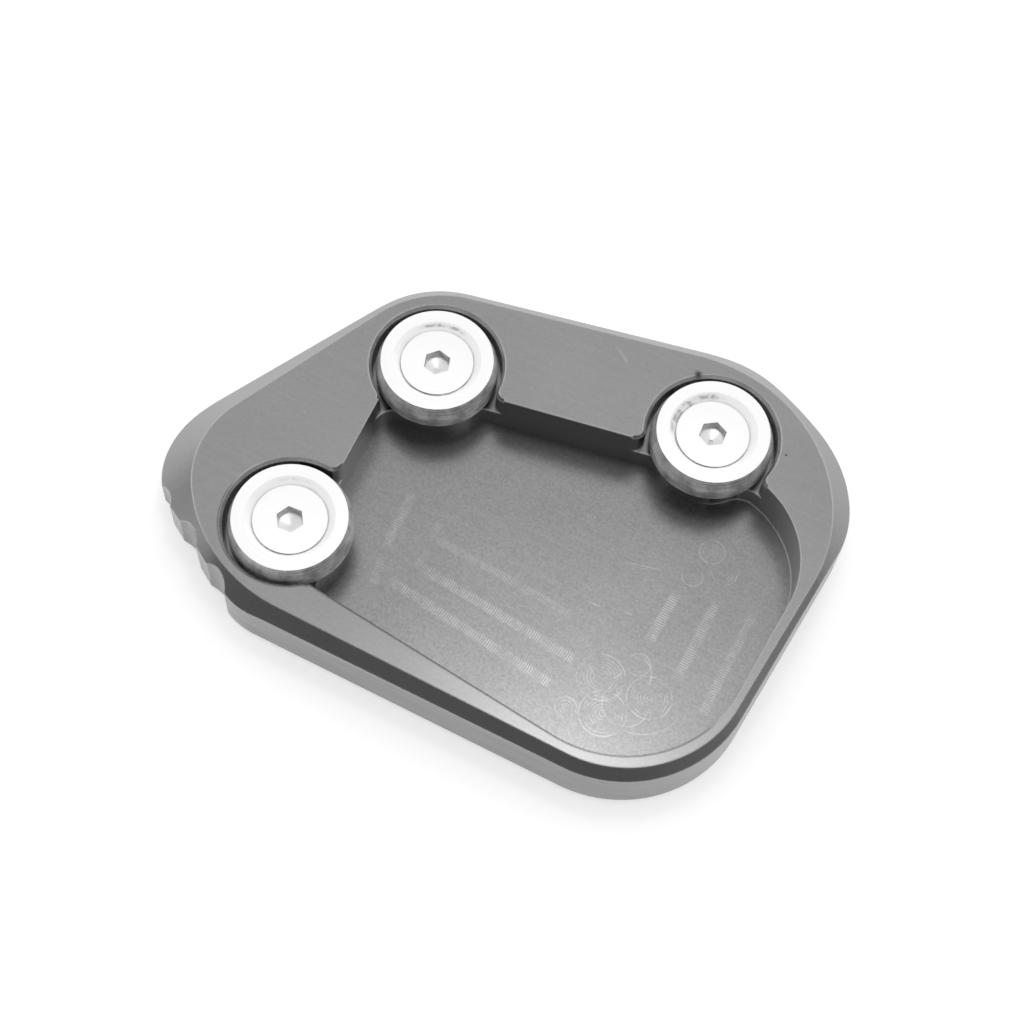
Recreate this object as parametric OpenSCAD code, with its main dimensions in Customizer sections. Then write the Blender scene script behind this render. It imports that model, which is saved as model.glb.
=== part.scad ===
// Side stand foot enlarger: a bevelled plate with a milled pocket for the stand's own foot,
// which three tapered clamp washers and three countersunk screws hold down.
// The origin is the middle of the underside, +X runs along the long straight front edge.

/* [Plate] */
// Thickness of the plate
plate_t = 12.5; // [11.5:0.1:16]
// Height of the bevel round the underside
foot_bevel = 2; // [0.5:0.1:2.5]
// Size of the small bevel round the pocket and the washer recesses
edge_break = 0.5; // [0.2:0.05:0.8]

/* [Rim: outline of the upright wall] */
// Front left corner, x
rim_front_left_x = -30.8; // [-33:0.1:-28]
// Front left corner, y
rim_front_left_y = -35.9; // [-38:0.1:-35]
// Front left corner, radius
rim_front_left_r = 12.4; // [8:0.1:16]
// Front right corner, x
rim_front_right_x = 46.7; // [46:0.1:49]
// Front right corner, y
rim_front_right_y = -34; // [-36:0.1:-33.5]
// Front right corner, radius
rim_front_right_r = 21.2; // [16:0.1:24]
// Right shoulder, x
rim_shoulder_x = 50; // [49.5:0.1:52]
// Right shoulder, y
rim_shoulder_y = 32.4; // [30:0.1:34]
// Right shoulder, radius
rim_shoulder_r = 19.8; // [14:0.1:22]
// Back right corner, x
rim_back_right_x = 22.7; // [20:0.1:25]
// Back right corner, y
rim_back_right_y = 43.6; // [43:0.1:45]
// Back right corner, radius
rim_back_right_r = 15.5; // [10:0.1:25]
// Back left corner, x
rim_back_left_x = -32.9; // [-35:0.1:-31]
// Back left corner, y
rim_back_left_y = 29.9; // [29:0.1:32]
// Back left corner, radius
rim_back_left_r = 14.6; // [10:0.1:18]
// Left nose, x
rim_nose_x = -60.1; // [-62:0.1:-58]
// Left nose, y
rim_nose_y = -19; // [-21:0.1:-17]
// Left nose, radius
rim_nose_r = 13.3; // [9:0.1:16]

/* [Top face: outline where the 45 degree bevel starts] */
// Front left corner, x
top_front_left_x = -38.5; // [-40:0.1:-37]
// Front left corner, y
top_front_left_y = -33.6; // [-34:0.1:-32.5]
// Front left corner, radius
top_front_left_r = 27.3; // [22:0.1:30]
// Front right corner, x
top_front_right_x = 45.4; // [45:0.1:46.5]
// Front right corner, y
top_front_right_y = -32.4; // [-33:0.1:-32]
// Front right corner, radius
top_front_right_r = 20.2; // [19:0.1:22]
// Back right corner, x
top_back_right_x = 50; // [49.5:0.1:51]
// Back right corner, y
top_back_right_y = 47.8; // [47:0.1:48.5]
// Back right corner, radius
top_back_right_r = 27.4; // [25:0.1:30]
// Back left corner, x
top_back_left_x = -32.8; // [-33.5:0.1:-32]
// Back left corner, y
top_back_left_y = 28.3; // [27.8:0.1:29]
// Back left corner, radius
top_back_left_r = 17.9; // [14:0.1:20]
// Left nose, x
top_nose_x = -51.6; // [-53:0.1:-51]
// Left nose, y
top_nose_y = -14.4; // [-16:0.1:-13]
// Left nose, radius
top_nose_r = 16.2; // [12:0.1:18]

/* [Pocket for the stand's foot] */
// Depth of the pocket below the top face
pocket_depth = 8.5; // [7:0.1:10]
// Front left corner, x
pocket_front_left_x = -25.8; // [-27:0.1:-24]
// Front left corner, y
pocket_front_left_y = -27.3; // [-28:0.1:-26]
// Radius of the two pocket corners that lie under washers
pocket_hidden_r = 4; // [3:0.1:5]
// Front right corner, x
pocket_front_right_x = 44.9; // [43:0.1:45.2]
// Front right corner, y
pocket_front_right_y = -32.7; // [-32.8:0.1:-31]
// Front right corner, radius
pocket_front_right_r = 20.4; // [19.5:0.1:23]
// Back right corner, x
pocket_back_right_x = 46.6; // [45:0.1:47]
// Back right corner, y
pocket_back_right_y = 27.6; // [26.5:0.1:28]
// Back right corner, radius
pocket_back_right_r = 16.9; // [16:0.1:18]
// Back left corner, x
pocket_back_left_x = -28.6; // [-30:0.1:-27]
// Back left corner, y
pocket_back_left_y = 12; // [11:0.1:13]

/* [Washer recesses] */
// Depth of the washer seats below the top face
seat_depth = 4.6; // [4:0.1:5.2]
// Gap round a washer in its recess
recess_gap = 0.75; // [0.5:0.05:1]
// Radius of the horns between a recess and the pocket
horn_r = 1.8; // [1.4:0.1:2]
// Diameter of the bosses that carry the washers in the pocket
boss_d = 16.6; // [15.6:0.1:17]
// Radius of the fillets between the bosses and the pocket's walls
boss_fillet_r = 4; // [3:0.1:4.5]

/* [Screw places] */
// Front left screw, x
screw_front_left_x = -29.5; // [-30.5:0.1:-28.5]
// Front left screw, y
screw_front_left_y = -19.7; // [-20.5:0.1:-19]
// Back left screw, x
screw_back_left_x = -23.1; // [-24:0.1:-22]
// Back left screw, y
screw_back_left_y = 16.6; // [16:0.1:17.2]
// Back right screw, x
screw_back_right_x = 22.5; // [21.5:0.1:23.5]
// Back right screw, y
screw_back_right_y = 27; // [26.5:0.1:27.5]

/* [Clamp washers] */
// Greatest diameter of a washer
washer_d = 20.2; // [20:0.1:20.7]
// Diameter of a washer's top
washer_top_d = 18.6; // [17.5:0.1:19.5]
// Thickness of a washer
washer_t = 6; // [5.5:0.1:6.5]
// Height of the tapered part of a washer
washer_taper = 2.4; // [1.5:0.1:3]
// Diameter of a washer's bore below its countersink
washer_bore_d = 6.6; // [6.2:0.1:7]
// Size of the bevel round a washer's underside
washer_foot_bevel = 1.7; // [1:0.1:2]
// How far the screw's head lies below the washer's top
head_recess = 0.9; // [0.4:0.1:1.2]

/* [Screws] */
// Thread diameter
screw_d = 6; // [5:0.1:6.5]
// Length of a screw from the top of its head to its tip
screw_length = 10; // [9:0.1:11]
// Diameter of a screw's head
head_d = 12; // [11:0.1:12.5]
// Height of the upright rim of the head
head_rim = 0.3; // [0.1:0.05:0.5]
// Size of the hexagon across its flats
hex_across = 4; // [3:0.1:5]
// Depth of the hexagon
hex_depth = 1.8; // [1.5:0.1:2.2]
// Depth of the drilled cone below the hexagon
drill_depth = 0.35; // [0.2:0.05:0.6]
// Width of the flat floor between the hexagon's sides and the drilled cone
drill_land = 0.1; // [0.05:0.05:0.4]
// Turn of the hexagon in the front left screw
hex_turn_front_left = 6; // [0:1:59]
// Turn of the hexagon in the back left screw
hex_turn_back_left = 49; // [0:1:59]
// Turn of the hexagon in the back right screw
hex_turn_back_right = 36; // [0:1:59]
// Bevel at the tip of the thread
tip_bevel = 0.8; // [0.3:0.1:1]
// Gap between the thread and its hole
thread_gap = 0.05; // [0.02:0.01:0.1]
// Gap between the head's cone and the washer's countersink
cone_gap = 0.05; // [0.02:0.01:0.1]
// Room below the screw's tip in its blind hole
tip_room = 1; // [0.5:0.1:1.5]

/* [Grip scallops] */
// Number of scallops in the slanting left edge
scallop_count = 3; // [1:1:3]
// Radius of a scallop
scallop_r = 4.1; // [3.5:0.1:4.5]
// Distance of the scallops' axes outside the edge
scallop_out = 2.97; // [2.5:0.01:3.4]
// Distance between scallops
scallop_pitch = 9.2; // [8.5:0.1:10]
// Distance of the first scallop from the front left corner
scallop_start = 5.1; // [4.5:0.1:6]

/* [Hidden] */
$fn = 128;

// How far cutters reach past the faces that they cut
past = 0.5;
// How far wedges sink into the core that they join, and run on past the ends of their side
sink = 1;
// How far the arcs of a wall stand proud of its straight sides, so that they cross them cleanly
wall_swell = 0.005;
// The same for the arcs of a bevel
bevel_swell = 0.015;
// How far the cutters of the outer bevels reach outwards
skirt = 40;

rim_path = [
    [rim_front_left_x, rim_front_left_y], [rim_front_right_x, rim_front_right_y],
    [rim_shoulder_x, rim_shoulder_y], [rim_back_right_x, rim_back_right_y],
    [rim_back_left_x, rim_back_left_y], [rim_nose_x, rim_nose_y]
];
rim_radii = [
    rim_front_left_r, rim_front_right_r, rim_shoulder_r,
    rim_back_right_r, rim_back_left_r, rim_nose_r
];
top_path = [
    [top_front_left_x, top_front_left_y], [top_front_right_x, top_front_right_y],
    [top_back_right_x, top_back_right_y], [top_back_left_x, top_back_left_y],
    [top_nose_x, top_nose_y]
];
top_radii = [top_front_left_r, top_front_right_r, top_back_right_r, top_back_left_r, top_nose_r];
pocket_path = [
    [pocket_front_left_x, pocket_front_left_y], [pocket_front_right_x, pocket_front_right_y],
    [pocket_back_right_x, pocket_back_right_y], [pocket_back_left_x, pocket_back_left_y]
];
pocket_radii = [pocket_hidden_r, pocket_front_right_r, pocket_back_right_r, pocket_hidden_r];

front_left = [screw_front_left_x, screw_front_left_y];
back_left = [screw_back_left_x, screw_back_left_y];
back_right = [screw_back_right_x, screw_back_right_y];
screw_places = [front_left, back_left, back_right];

washer_r = washer_d / 2;
bore_r = washer_bore_d / 2;
recess_r = washer_r + recess_gap;
boss_r = boss_d / 2;
screw_r = screw_d / 2;
head_r = head_d / 2;
seat_z = plate_t - seat_depth;
floor_z = plate_t - pocket_depth;
washer_top_z = seat_z + washer_t;
head_top_z = washer_top_z - head_recess;
hole_depth = seat_z - head_top_z + screw_length + tip_room;

// Direction of a vector
function unit(v) = v / norm(v);
// Item i of a list that closes on itself
function item(list, i) = list[(i + len(list)) % len(list)];
// Direction of the side that leaves corner i, and the outward normal of that side
function side_dir(path, i) = unit(item(path, i + 1) - item(path, i));
function side_normal(path, i) = let (d = side_dir(path, i)) [d.y, -d.x];
// Centre of the arc at corner i
function arc_centre(path, radii, i) =
    let (
        back = -side_dir(path, i - 1),
        ahead = side_dir(path, i),
        half_angle = acos(back * ahead) / 2
    )
    item(path, i) + unit(back + ahead) * item(radii, i) / sin(half_angle);
// Point where side s touches the arc at corner i, on the outline grown by grow
function touch(path, radii, i, s, grow) =
    arc_centre(path, radii, i) + (item(radii, i) + grow) * side_normal(path, s);
// Where two circles meet, on the left (+1) or right (-1) of the way from p to q
function meet(p, rp, q, rq, side) =
    let (
        d = norm(q - p),
        along = (rp * rp - rq * rq + d * d) / (2 * d),
        e = (q - p) / d
    )
    p + along * e + side * sqrt(rp * rp - along * along) * [-e.y, e.x];

// Middle of the rim's box, which becomes the origin
rim_centres = [for (i = [0:len(rim_path) - 1]) arc_centre(rim_path, rim_radii, i)];
rim_low = [for (k = [0, 1]) min([for (i = [0:len(rim_path) - 1]) rim_centres[i][k] - rim_radii[i]])];
rim_high = [for (k = [0, 1]) max([for (i = [0:len(rim_path) - 1]) rim_centres[i][k] + rim_radii[i]])];
middle = (rim_low + rim_high) / 2;

// Straight-sided part of a rounded outline
module outline_core(path, radii, grow) {
    polygon([
        for (i = [0:len(path) - 1], s = [i - 1, i]) touch(path, radii, i, s, grow)
    ]);
}

// Outline with rounded corners
module rounded_outline(path, radii) {
    outline_core(path, radii, 0);
    for (i = [0:len(path) - 1])
        translate(arc_centre(path, radii, i)) circle(radii[i] + wall_swell);
}

// Solid whose rounded outline grows by its own height, so that its walls lean out at 45 degrees
module flare(path, radii, height, grow = 0) {
    linear_extrude(height) outline_core(path, radii, grow);
    for (i = [0:len(path) - 1]) {
        foot_r = radii[i] + grow + bevel_swell;
        translate(arc_centre(path, radii, i))
            cylinder(h = height, r1 = foot_r, r2 = foot_r + height);
        start = touch(path, radii, i, i, grow);
        finish = touch(path, radii, i + 1, i, grow);
        way = side_dir(path, i);
        translate(start) rotate(atan2(way.y, way.x)) rotate([90, 0, 90])
            linear_extrude(norm(finish - start))
                polygon([[sink, 0], [0, 0], [-height, height], [sink, height]]);
    }
}

// Everything outside a rounded outline that grows by its own height, piece by piece: a wedge
// along each side, and at each corner a sector with a cone taken out
module skirt_cut(path, radii, height, grow = 0) {
    for (i = [0:len(path) - 1]) {
        centre = arc_centre(path, radii, i);
        before = side_normal(path, i - 1);
        after = side_normal(path, i);
        far = radii[i] + skirt;
        foot_r = radii[i] + grow + bevel_swell;
        translate(centre) difference() {
            translate([0, 0, -past]) linear_extrude(height + past) polygon([
                [0, 0], far * before, far * (before + after) / (1 + before * after), far * after
            ]);
            translate([0, 0, -past])
                cylinder(h = height + past, r1 = foot_r - past, r2 = foot_r + height);
        }
        start = touch(path, radii, i, i, grow);
        finish = touch(path, radii, i + 1, i, grow);
        way = side_dir(path, i);
        translate(start - sink * way) rotate(atan2(way.y, way.x)) rotate([90, 0, 90])
            linear_extrude(norm(finish - start) + 2 * sink) polygon([
                [past, -past], [-height, height], [-skirt, height], [-skirt, -past]
            ]);
    }
}

// Plate with its wall and its two bevels, before anything is cut into it
module plate_blank() {
    difference() {
        linear_extrude(plate_t) rounded_outline(rim_path, rim_radii);
        translate([0, 0, plate_t]) mirror([0, 0, 1]) skirt_cut(top_path, top_radii, plate_t + past);
        skirt_cut(rim_path, rim_radii, foot_bevel + past, -foot_bevel);
    }
}

// Pocket with straight walls and a small bevel round its mouth, less the bosses for the washers
module pocket_cut() {
    difference() {
        translate([0, 0, floor_z])
            linear_extrude(pocket_depth + past) rounded_outline(pocket_path, pocket_radii);
        for (place = screw_places)
            translate([place.x, place.y, floor_z - sink])
                cylinder(h = seat_z - floor_z + sink, r = boss_r);
        side_boss_fillet(front_left, 0, 1);
        side_boss_fillet(front_left, 3, -1);
        side_boss_fillet(back_left, 3, 1);
        side_boss_fillet(back_left, 2, -1);
        side_boss_fillet(back_right, 2, 1);
        arc_boss_fillet(back_right, 2);
    }
    translate([0, 0, plate_t - edge_break - past])
        flare(pocket_path, pocket_radii, edge_break + 2 * past, -past);
}

// Hollow fillet between a boss and a wall of the pocket: the metal between the tip, which is in
// the wall, and the round of the milling cutter about centre stays
module boss_fillet(tip, centre, wall_way, boss_way) {
    reach = boss_fillet_r + past;
    translate([0, 0, floor_z - sink]) difference() {
        linear_extrude(seat_z - floor_z + sink)
            polygon([tip, centre + reach * wall_way, centre, centre + reach * boss_way]);
        translate([centre.x, centre.y, -past])
            cylinder(h = seat_z - floor_z + sink + 2 * past, r = boss_fillet_r + 2 * wall_swell);
    }
}

// Fillet between the boss at place and straight side s of the pocket, ahead of (+1) or
// behind (-1) the boss as the side runs
module side_boss_fillet(place, s, ahead) {
    way = ahead * side_dir(pocket_path, s);
    out = side_normal(pocket_path, s);
    rise = (place - pocket_path[s]) * out;
    foot = place - rise * out;
    reach = boss_r + boss_fillet_r;
    low = rise + boss_fillet_r;
    centre = foot + way * sqrt(reach * reach - low * low) - boss_fillet_r * out;
    crossing = foot + way * sqrt(boss_r * boss_r - rise * rise);
    tip = crossing + past * unit(crossing - centre);
    boss_fillet(tip, centre, out, unit(place - centre));
}

// Fillet between the boss at place and the arc at corner i of the pocket
module arc_boss_fillet(place, i) {
    arc = arc_centre(pocket_path, pocket_radii, i);
    arc_r = pocket_radii[i];
    centre = meet(place, boss_r + boss_fillet_r, arc, arc_r - boss_fillet_r, 1);
    crossing = meet(place, boss_r, arc, arc_r, 1);
    tip = crossing + past * unit(crossing - centre);
    boss_fillet(tip, centre, unit(centre - arc), unit(place - centre));
}

// Recess that a washer sits in, with its small bevel and the blind hole for its screw
module recess_cut(place) {
    translate([place.x, place.y, seat_z]) cylinder(h = seat_depth + past, r = recess_r);
    translate([place.x, place.y, plate_t - edge_break])
        cylinder(h = edge_break + past, r1 = recess_r, r2 = recess_r + edge_break + past);
    translate([place.x, place.y, seat_z - hole_depth])
        cylinder(h = hole_depth + past, r = screw_r + thread_gap);
}

// Radius of the countersink at height z
function cone_r(z) = head_r + cone_gap - (head_top_z - head_rim - z);

// Rounds the horn of metal between a recess and the pocket: what lies between the tip, which is
// in the open, and the round post about centre goes
module horn_cut(tip, centre, pocket_way, recess_way) {
    post_r = horn_r + wall_swell;
    post_top = plate_t - edge_break + bevel_swell;
    reach = horn_r + past;
    difference() {
        translate([0, 0, seat_z]) linear_extrude(seat_depth + past)
            polygon([tip, centre + reach * pocket_way, centre, centre + reach * recess_way]);
        translate([centre.x, centre.y, 0]) rotate_extrude() polygon([
            [0, seat_z - past],
            [post_r, seat_z - past],
            [post_r, post_top],
            [post_r - (plate_t + past - post_top), plate_t + past],
            [0, plate_t + past]
        ]);
    }
}

// Horn between the recess at place and straight side s of the pocket, ahead of (+1) or
// behind (-1) the recess as the side runs
module side_horn_cut(place, s, ahead) {
    way = ahead * side_dir(pocket_path, s);
    out = side_normal(pocket_path, s);
    rise = (place - pocket_path[s]) * out;
    foot = place - rise * out;
    reach = recess_r + horn_r;
    centre = foot + way * sqrt(reach * reach - (rise - horn_r) * (rise - horn_r)) + horn_r * out;
    crossing = foot + way * sqrt(recess_r * recess_r - rise * rise);
    tip = crossing + past * unit(crossing - centre);
    horn_cut(tip, centre, -out, unit(place - centre));
}

// Horn between the recess at place and the arc at corner i of the pocket
module arc_horn_cut(place, i) {
    arc = arc_centre(pocket_path, pocket_radii, i);
    arc_r = pocket_radii[i];
    centre = meet(place, recess_r + horn_r, arc, arc_r + horn_r, 1);
    crossing = meet(place, recess_r, arc, arc_r, 1);
    tip = crossing + past * unit(crossing - centre);
    horn_cut(tip, centre, unit(arc - centre), unit(place - centre));
}

// Upright round cuts along the slanting left edge
module scallop_cuts() {
    nose = len(rim_path) - 1;
    corner = rim_path[0] + scallop_out * side_normal(rim_path, nose);
    for (i = [0:scallop_count - 1])
        translate(corner - (scallop_start + i * scallop_pitch) * side_dir(rim_path, nose))
            translate([0, 0, -past]) cylinder(h = plate_t + 2 * past, r = scallop_r);
}

module base_plate() {
    color([0.58, 0.58, 0.59])
        translate(-middle) difference() {
            plate_blank();
            pocket_cut();
            for (place = screw_places) recess_cut(place);
            side_horn_cut(front_left, 0, 1);
            side_horn_cut(front_left, 3, -1);
            side_horn_cut(back_left, 3, 1);
            side_horn_cut(back_left, 2, -1);
            side_horn_cut(back_right, 2, 1);
            arc_horn_cut(back_right, 2);
            scallop_cuts();
        }
}

// Turned washer that tapers to its top, with a countersink for the screw's head
module clamp_washer(place) {
    color([0.93, 0.93, 0.94])
        translate(place - middle) translate([0, 0, seat_z]) rotate_extrude() polygon([
            [bore_r, 0],
            [washer_r - washer_foot_bevel, 0],
            [washer_r, washer_foot_bevel],
            [washer_r, washer_t - washer_taper],
            [washer_top_d / 2, washer_t],
            [cone_r(washer_top_z), washer_t],
            [bore_r, washer_t - (cone_r(washer_top_z) - bore_r)]
        ]);
}

// Countersunk screw with a hexagon socket that ends in a drilled cone
module socket_screw(place, turn) {
    shank_z = head_top_z - head_rim - (head_r - screw_r);
    tip_z = head_top_z - screw_length;
    hex_r = hex_across / 2 / cos(30);
    drill_r = hex_across / 2 - drill_land;
    color([0.88, 0.88, 0.9])
        translate(place - middle) difference() {
            rotate_extrude() polygon([
                [0, tip_z],
                [screw_r - tip_bevel, tip_z],
                [screw_r, tip_z + tip_bevel],
                [screw_r, shank_z],
                [head_r, head_top_z - head_rim],
                [head_r, head_top_z],
                [0, head_top_z]
            ]);
            translate([0, 0, head_top_z - hex_depth]) rotate(turn)
                cylinder(h = hex_depth + past, r = hex_r, $fn = 6);
            translate([0, 0, head_top_z - hex_depth - drill_depth])
                cylinder(h = drill_depth, r1 = 0, r2 = drill_r);
        }
}

module clamp_washer_front_left() { clamp_washer(front_left); }
module clamp_washer_back_left() { clamp_washer(back_left); }
module clamp_washer_back_right() { clamp_washer(back_right); }
module socket_screw_front_left() { socket_screw(front_left, hex_turn_front_left); }
module socket_screw_back_left() { socket_screw(back_left, hex_turn_back_left); }
module socket_screw_back_right() { socket_screw(back_right, hex_turn_back_right); }

base_plate();
clamp_washer_front_left();
clamp_washer_back_left();
clamp_washer_back_right();
socket_screw_front_left();
socket_screw_back_left();
socket_screw_back_right();
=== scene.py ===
"""Looks of the side stand foot enlarger: finishes of the plate, washers and screws, and the studio."""

import logging
import math
from dataclasses import dataclass, field
from enum import Enum
from typing import Sequence

import bpy
import numpy as np
from mathutils import Matrix

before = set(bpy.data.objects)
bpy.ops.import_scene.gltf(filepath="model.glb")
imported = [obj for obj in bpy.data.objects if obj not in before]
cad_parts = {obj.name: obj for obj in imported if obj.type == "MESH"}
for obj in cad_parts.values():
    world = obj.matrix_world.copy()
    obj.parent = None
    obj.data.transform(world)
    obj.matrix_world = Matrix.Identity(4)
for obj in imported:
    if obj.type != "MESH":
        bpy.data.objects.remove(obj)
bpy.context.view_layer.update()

MM = 0.001
log = logging.getLogger("foot_enlarger")

Point = tuple[float, float]
Colour = tuple[float, float, float]
# Low and high end of what is mapped, and then what they are mapped to where that isn't 0 and 1
Span = tuple[float, ...]
Socket = bpy.types.NodeSocket
# Depth in metres that a bump of 1 stands for
BUMP_DEPTH = 0.00002
# Octaves in the fine noises
FINE_DETAIL = 3.0


class Place(Enum):
    """Places of the clamp washers on the plate, as in the names of the CAD nodes."""

    FRONT_LEFT = "front_left"
    BACK_LEFT = "back_left"
    BACK_RIGHT = "back_right"


class Tree:
    """Adds nodes to a shader tree and links them in short calls."""

    def __init__(self, tree: bpy.types.NodeTree) -> None:
        """Starts on an emptied tree.

        Args:
            tree: the node tree of a material, a world or a group.
        """
        self.tree = tree
        tree.nodes.clear()

    def put(self, socket: bpy.types.NodeSocket, value: object) -> None:
        """Links an output to a socket, or sets the socket's own value.

        Args:
            socket: the input socket.
            value: another node's output, or a number, vector or colour.
        """
        if isinstance(value, bpy.types.NodeSocket):
            self.tree.links.new(value, socket)
        elif value is not None:
            if isinstance(value, tuple) and len(value) == 3 and socket.type == "RGBA":
                value = (*value, 1.0)
            socket.default_value = value

    def node(self, kind: str, inputs: dict | None = None, **settings: object) -> bpy.types.Node:
        """Adds one node.

        Args:
            kind: the node's type name without its ShaderNode prefix.
            inputs: values or outputs by the name or number of the input.
            **settings: properties of the node.

        Returns:
            The new node.
        """
        made = self.tree.nodes.new("ShaderNode" + kind)
        for name, value in settings.items():
            setattr(made, name, value)
        for key, value in (inputs or {}).items():
            self.put(made.inputs[key], value)
        return made

    def math(self, operation: str, a: object, b: object = None, c: object = None) -> Socket:
        """Adds a Math node and returns its result."""
        inputs = {i: v for i, v in enumerate((a, b, c)) if v is not None}
        return self.node("Math", inputs, operation=operation).outputs[0]

    def plus(self, a: object, b: object) -> Socket:
        """Returns a + b."""
        return self.math("ADD", a, b)

    def minus(self, a: object, b: object) -> Socket:
        """Returns a - b."""
        return self.math("SUBTRACT", a, b)

    def times(self, a: object, b: object) -> Socket:
        """Returns a * b."""
        return self.math("MULTIPLY", a, b)

    def centred(self, value: object, share: object) -> Socket:
        """Returns a noise about zero, times its share: (value - 0.5) * share."""
        return self.times(self.minus(value, 0.5), share)

    def vector(self, operation: str, a: object, b: object = None) -> bpy.types.Node:
        """Adds a Vector Math node and returns it."""
        inputs = {i: v for i, v in enumerate((a, b)) if v is not None}
        return self.node("VectorMath", inputs, operation=operation)

    def dot(self, a: object, b: object) -> Socket:
        """Returns the dot product of two vectors."""
        return self.vector("DOT_PRODUCT", a, b).outputs["Value"]

    def ramp(
        self, value: object, low: float, high: float, to_low: float = 0.0, to_high: float = 1.0
    ) -> Socket:
        """Maps low..high smoothly to to_low..to_high and holds the ends."""
        inputs = {
            "Value": value,
            "From Min": low,
            "From Max": high,
            "To Min": to_low,
            "To Max": to_high,
        }
        return self.node("MapRange", inputs, interpolation_type="SMOOTHSTEP").outputs[0]

    def surface(
        self,
        base: Socket,
        metal: Socket,
        rough: Socket,
        height: Socket,
        normal: Socket,
        strength: float,
    ) -> None:
        """Closes a material with its bump, shader and output.

        Args:
            base: the colour.
            metal: the share of metal.
            rough: the roughness.
            height: what the bump reads, times BUMP_DEPTH.
            normal: the normal that the bump bends.
            strength: the bump's strength.
        """
        bump = self.node(
            "Bump",
            {"Strength": strength, "Distance": BUMP_DEPTH, "Height": height, "Normal": normal},
        )
        shader = self.node(
            "BsdfPrincipled",
            {"Base Color": base, "Metallic": metal, "Roughness": rough, "Normal": bump.outputs[0]},
        )
        out = self.node("OutputMaterial")
        self.put(out.inputs["Surface"], shader.outputs[0])

    def mix(self, factor: object, a: object, b: object) -> bpy.types.NodeSocket:
        """Mixes two colours and returns the result."""
        made = self.node("Mix", data_type="RGBA")
        self.put(made.inputs["Factor"], factor)
        self.put(made.inputs[6], a)
        self.put(made.inputs[7], b)
        return made.outputs[2]

    def noise(
        self, vector: object, scale: float, detail: float = 2.0, roughness: float = 0.5
    ) -> Socket:
        """Adds a Noise texture on a vector in metres and returns its value."""
        inputs = {"Vector": vector, "Scale": scale, "Detail": detail, "Roughness": roughness}
        return self.node("TexNoise", inputs).outputs[0]

    def split(self, vector: object) -> tuple[Socket, Socket, Socket]:
        """Splits a vector into its three parts."""
        parts = self.node("SeparateXYZ", {0: vector}).outputs
        return parts[0], parts[1], parts[2]

    def join(self, x: object, y: object, z: object) -> bpy.types.NodeSocket:
        """Joins three values to a vector."""
        return self.node("CombineXYZ", {0: x, 1: y, 2: z}).outputs[0]


class Effect:
    """A shader node group with named inputs and outputs, built once."""

    name = "effect"
    vectors: tuple[str, ...] = ("Vector",)
    values: dict[str, float] = {}
    outputs: tuple[str, ...] = ("Mask",)

    def __init__(self) -> None:
        """Builds the group's sockets and then its nodes."""
        self.group = bpy.data.node_groups.new(self.name, "ShaderNodeTree")
        tree = Tree(self.group)
        face = self.group.interface
        for name in self.vectors:
            face.new_socket(name=name, in_out="INPUT", socket_type="NodeSocketVector")
        for name, value in self.values.items():
            socket = face.new_socket(name=name, in_out="INPUT", socket_type="NodeSocketFloat")
            socket.default_value = value
        for name in self.outputs:
            face.new_socket(name=name, in_out="OUTPUT", socket_type="NodeSocketFloat")
        source = self.group.nodes.new("NodeGroupInput")
        sink = self.group.nodes.new("NodeGroupOutput")
        for name, value in self.build(tree, source.outputs).items():
            tree.put(sink.inputs[name], value)

    def build(self, tree: Tree, given: bpy.types.NodeOutputs) -> dict[str, bpy.types.NodeSocket]:
        """Builds the nodes and returns the group's outputs by name."""
        raise NotImplementedError

    def use(self, tree: Tree, vector: object, **values: object) -> dict[str, Socket]:
        """Places the group in a material.

        Args:
            tree: the material's tree.
            vector: the coordinate that the effect reads.
            **values: inputs by name, with underscores for spaces.

        Returns:
            The outputs by name.
        """
        made = tree.node("Group", node_tree=self.group)
        tree.put(made.inputs[self.vectors[0]], vector)
        for name, value in values.items():
            tree.put(made.inputs[name.replace("_", " ")], value)
        return {name: made.outputs[name] for name in self.outputs}


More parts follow.
